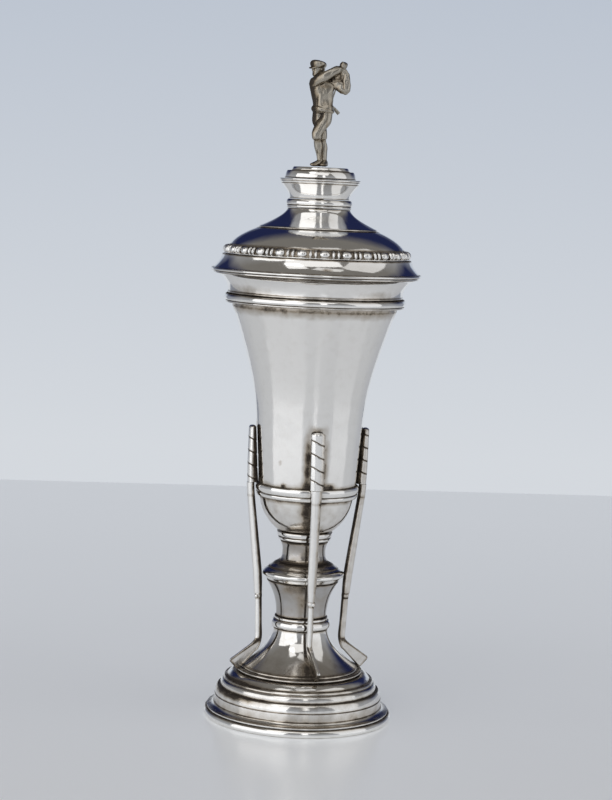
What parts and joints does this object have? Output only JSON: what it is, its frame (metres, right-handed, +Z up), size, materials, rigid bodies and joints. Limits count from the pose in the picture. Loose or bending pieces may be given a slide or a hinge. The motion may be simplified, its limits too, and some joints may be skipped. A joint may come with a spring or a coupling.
{
  "type": "covered golf trophy cup",
  "caption": "Covered presentation cup in polished silver on a stepped foot, its stem propped by golf clubs, with a lift-off domed lid and a cast golfer finial.",
  "frame": {"origin": "centre of the foot's underside, on the surface it stands on", "axes": "+Z up along the cup's axis, -Y towards the front, where the golfer faces; +X is the viewer's right"},
  "size_m": [0.1016, 0.1016, 0.3198],
  "materials": {
    "raised_silver": "polished silver sheet",
    "turned_silver": "polished turned silver",
    "club_silver": "polished cast silver, tarnished in the grooves",
    "milled_silver": "milled silver strip with dark recesses",
    "cast_silver": "cast silver with dark recesses",
    "rod_steel": "plain steel rod, washer and nut"
  },
  "bodies": {
    "cup": {"foot_rim_wire": "turned_silver", "stepped_foot": "raised_silver", "foot_cone": "raised_silver", "lower_collar": "turned_silver", "lower_stem": "turned_silver", "knop_disc": "turned_silver", "upper_stem": "turned_silver", "upper_collar": "turned_silver", "stem_rod": "rod_steel", "stem_washer": "rod_steel", "stem_nut": "rod_steel", "cup_body": "raised_silver", "girdle_ring": "turned_silver", "cup_rim_moulding": "turned_silver", "club_front_grip": "club_silver", "club_front_shaft": "club_silver", "club_front_head": "club_silver", "club_right_grip": "club_silver", "club_right_shaft": "club_silver", "club_right_head": "club_silver", "club_back_grip": "club_silver", "club_back_shaft": "club_silver", "club_back_head": "club_silver", "club_left_grip": "club_silver", "club_left_shaft": "club_silver", "club_left_head": "club_silver"},
    "lid": {"lid_flange": "raised_silver", "lid_bezel": "turned_silver", "lid_cover": "raised_silver", "bead_and_reel_band": "milled_silver", "lid_neck": "turned_silver", "neck_collar": "turned_silver", "finial_pedestal": "turned_silver", "finial_plinth": "turned_silver", "golfer_figure": "cast_silver", "golfer_club": "cast_silver", "finial_stud": "rod_steel", "finial_washer": "rod_steel", "finial_nut": "rod_steel"}
  },
  "joints": [
    {"name": "lid_lift", "type": "slide", "parent": "cup", "child": "lid", "axis": [0, 0, 1], "range_m": [0, 0.15]}
  ]
}
